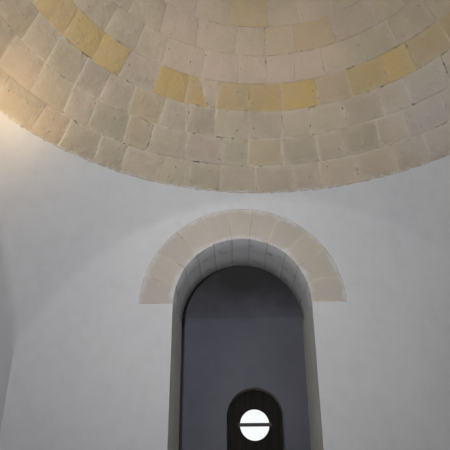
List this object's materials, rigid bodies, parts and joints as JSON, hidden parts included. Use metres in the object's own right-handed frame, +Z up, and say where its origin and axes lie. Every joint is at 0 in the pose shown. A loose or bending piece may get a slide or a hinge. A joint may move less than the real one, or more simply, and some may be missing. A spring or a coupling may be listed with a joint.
{
  "type": "one-room trullo with a domed room and a vaulted alcove",
  "caption": "Stone trullo: square whitewashed room under a corbelled dome on pendentives, two round arches, a vaulted alcove and a stone cone roof with a pinnacle.",
  "frame": {"origin": "middle of the square room, at ground level, on the underside of its floor slabs", "axes": "+Z up, +Y from the entrance towards the alcove, +X to the right of someone walking in"},
  "size_m": [5.44, 7.25, 6.9758],
  "materials": {
    "whitewash": "matte",
    "arch_stone": "matte",
    "dome_stone": "matte",
    "ochre_stone": "matte",
    "floor_stone": "satin",
    "roof_stone": "matte",
    "rubble": "matte",
    "pinnacle_stone": "matte",
    "dark_wood": "satin",
    "glass": "gloss",
    "iron": "satin"
  },
  "bodies": {
    "root": {"front_wall_left": "whitewash", "front_wall_right": "whitewash", "front_wall_over_arch": "whitewash", "left_wall": "whitewash", "right_wall": "whitewash", "back_wall_left": "whitewash", "back_wall_right": "whitewash", "back_wall_over_arch": "whitewash", "pendentive_front_left": "whitewash", "pendentive_front_right": "whitewash", "pendentive_back_left": "whitewash", "pendentive_back_right": "whitewash", "alcove_left_wall": "whitewash", "alcove_right_wall": "whitewash", "alcove_end_wall": "whitewash", "alcove_vault": "whitewash", "door_arch": "arch_stone", "alcove_arch": "arch_stone", "dome_course_1": "dome_stone", "dome_course_2": "dome_stone", "dome_course_3": "dome_stone", "dome_course_5": "dome_stone", "dome_course_6": "dome_stone", "dome_course_7": "dome_stone", "dome_upper_courses_1": "dome_stone", "dome_upper_courses_2": "dome_stone", "dome_upper_courses_3": "dome_stone", "closing_stone": "dome_stone", "dome_course_4": "ochre_stone", "room_floor": "floor_stone", "front_threshold": "floor_stone", "back_threshold": "floor_stone", "alcove_floor": "floor_stone", "coping": "roof_stone", "eaves_course": "roof_stone", "roof_slabs": "roof_stone", "alcove_roof": "roof_stone", "corner_fill": "rubble", "roof_fill": "rubble", "pinnacle_collar": "pinnacle_stone", "pinnacle_stem": "pinnacle_stone", "pinnacle_ball": "pinnacle_stone", "window_panel": "dark_wood", "window_glass": "glass", "window_bar": "iron"}
  },
  "joints": []
}
